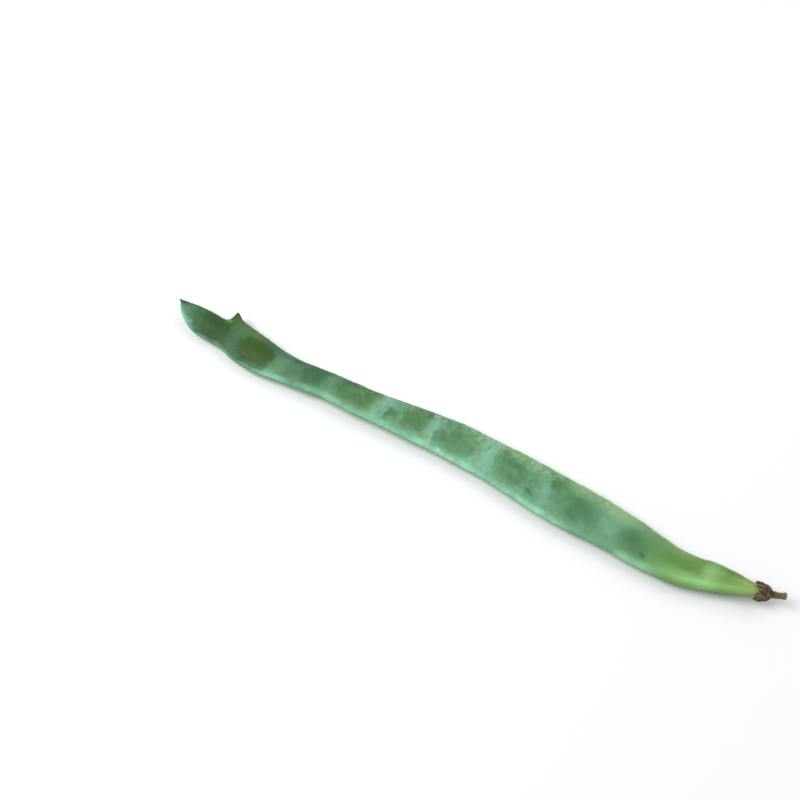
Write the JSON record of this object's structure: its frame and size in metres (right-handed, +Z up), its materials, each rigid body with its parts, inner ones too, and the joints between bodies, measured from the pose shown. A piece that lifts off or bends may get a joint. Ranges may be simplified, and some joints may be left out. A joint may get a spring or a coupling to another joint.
{
  "type": "green bean",
  "caption": "Flat green bean pod lying on its broad side, with a dry beak at one end and the dried cup and stub of its stalk at the other.",
  "frame": {"origin": "on the surface the bean lies on, at the middle of its footprint", "axes": "+X along the pod from its beak to its stalk, +Y towards the seam that the beak's point lies on, +Z up, square to the pod's broad side"},
  "size_m": [0.2406, 0.02, 0.0077],
  "materials": {
    "pod_skin": "satin",
    "dry_calyx": "matte"
  },
  "bodies": {
    "root": {"pod": "pod_skin", "calyx": "dry_calyx"}
  },
  "joints": []
}
